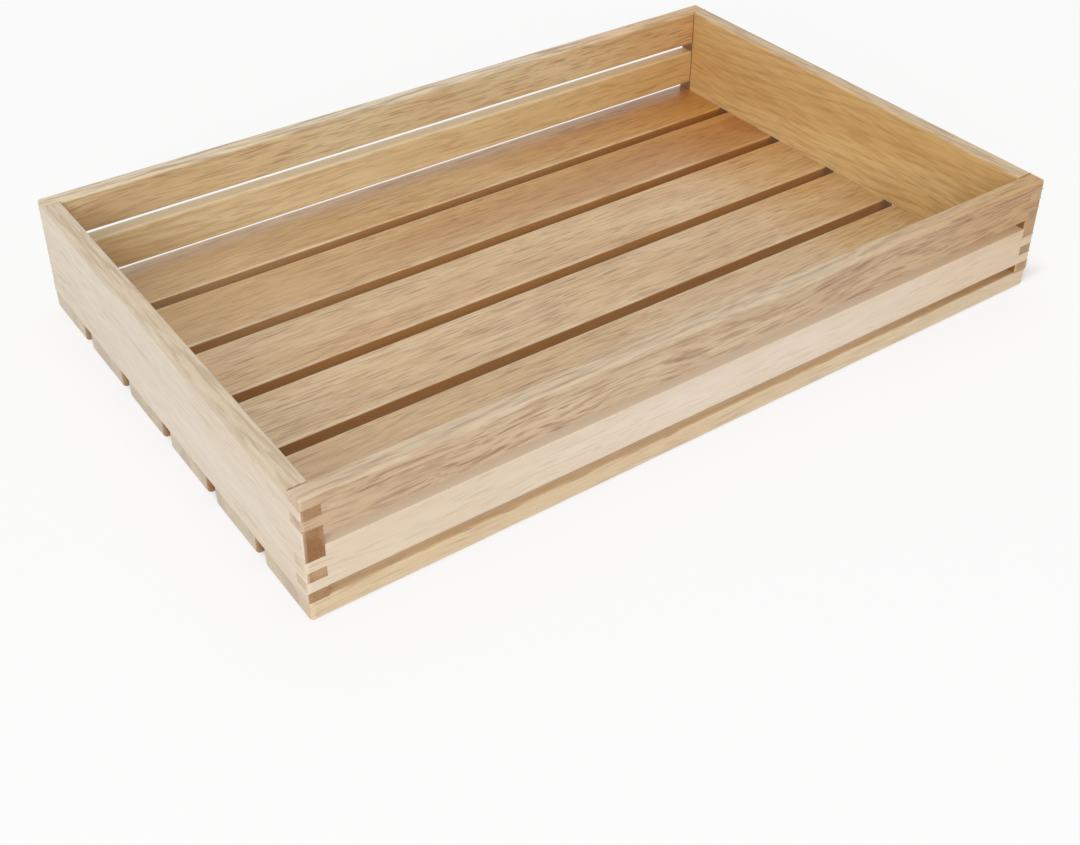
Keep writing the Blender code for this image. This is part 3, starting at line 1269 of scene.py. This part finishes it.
def white_table():
    """A white table top, which glows a little to the eye but not where the crate shades it."""
    bm = bmesh.new()
    bmesh.ops.create_grid(bm, x_segments=1, y_segments=1, size=TABLE_HALF)
    table = from_bmesh("table", bm)
    material = bpy.data.materials.new("white table")
    material.use_nodes = True
    tree = material.node_tree
    tree.nodes.clear()
    start = Wire(tree)
    place = start.node("ShaderNodeTexCoord", output="Object")
    x, y = place.axis("X"), place.axis("Y")
    under = y.size().fade(full_depth / 2, SHADED_DEPTH_FADE)
    under *= x.fade(-full_length / 2, SHADED_LEFT_FADE)
    under *= x.fade(full_length / 2, SHADED_RIGHT_FADE)
    grey = (TABLE_GREY, TABLE_GREY, TABLE_GREY, 1)
    matt = start.node("ShaderNodeBsdfDiffuse", {}, {"Color": grey})
    glow = start.node("ShaderNodeEmission", {}, {"Color": WHITE, "Strength": 1})
    share = seen_itself(start) * (1 - under) * TABLE_GLOW
    both = start.node("ShaderNodeMixShader", {}, {0: share, 1: matt, 2: glow})
    result = tree.nodes.new("ShaderNodeOutputMaterial")
    tree.links.new(both.socket, result.inputs["Surface"])
    table.data.materials.append(material)


def soft_light(name, place, size, power):
    """A square light that shines on the middle of the table."""
    data = bpy.data.lights.new(name, "AREA")
    data.shape = "SQUARE"
    data.size = size
    data.energy = power
    light = in_scene(name, data)
    light.location = place
    light.rotation_euler = (-Vector(place)).to_track_quat("-Z", "Y").to_euler()


def room_light():
    """Even light all round, and plain white where the eye or a reflection looks past the table."""
    world = bpy.data.worlds.new("room")
    world.use_nodes = True
    bpy.context.scene.world = world
    tree = world.node_tree
    tree.nodes.clear()
    start = Wire(tree)
    dim = start.node("ShaderNodeBackground", {}, {"Color": ROOM_TINT, "Strength": ROOM_STRENGTH})
    white = start.node("ShaderNodeBackground", {}, {"Color": WHITE, "Strength": 1})
    both = start.node("ShaderNodeMixShader", {}, {0: seen_itself(start), 1: dim, 2: white})
    result = tree.nodes.new("ShaderNodeOutputWorld")
    tree.links.new(both.socket, result.inputs["Surface"])


def camera():
    """A camera that looks along the crate from over its near left corner."""
    data = bpy.data.cameras.new("camera")
    data.lens = LENS
    data.sensor_width = FILM_WIDTH
    data.sensor_fit = "HORIZONTAL"
    data.shift_y = SHIFT_UP
    data.clip_start = 10 * MILLIMETRE
    made = in_scene("camera", data)
    made.matrix_world = (
        Matrix.Translation(CAMERA_PLACE)
        @ Matrix.Rotation(CAMERA_TURN, 4, "Z")
        @ Matrix.Rotation(CAMERA_TILT, 4, "X")
        @ Matrix.Rotation(CAMERA_ROLL, 4, "Z")
    )
    bpy.context.scene.camera = made


white_table()
room_light()
soft_light("window", place=(-1.5, -1.8, 1.15), size=1.5, power=28)
soft_light("ceiling", place=(0.3, 0.3, 2.0), size=1.6, power=7)
camera()
bpy.context.scene.view_settings.view_transform = "Standard"
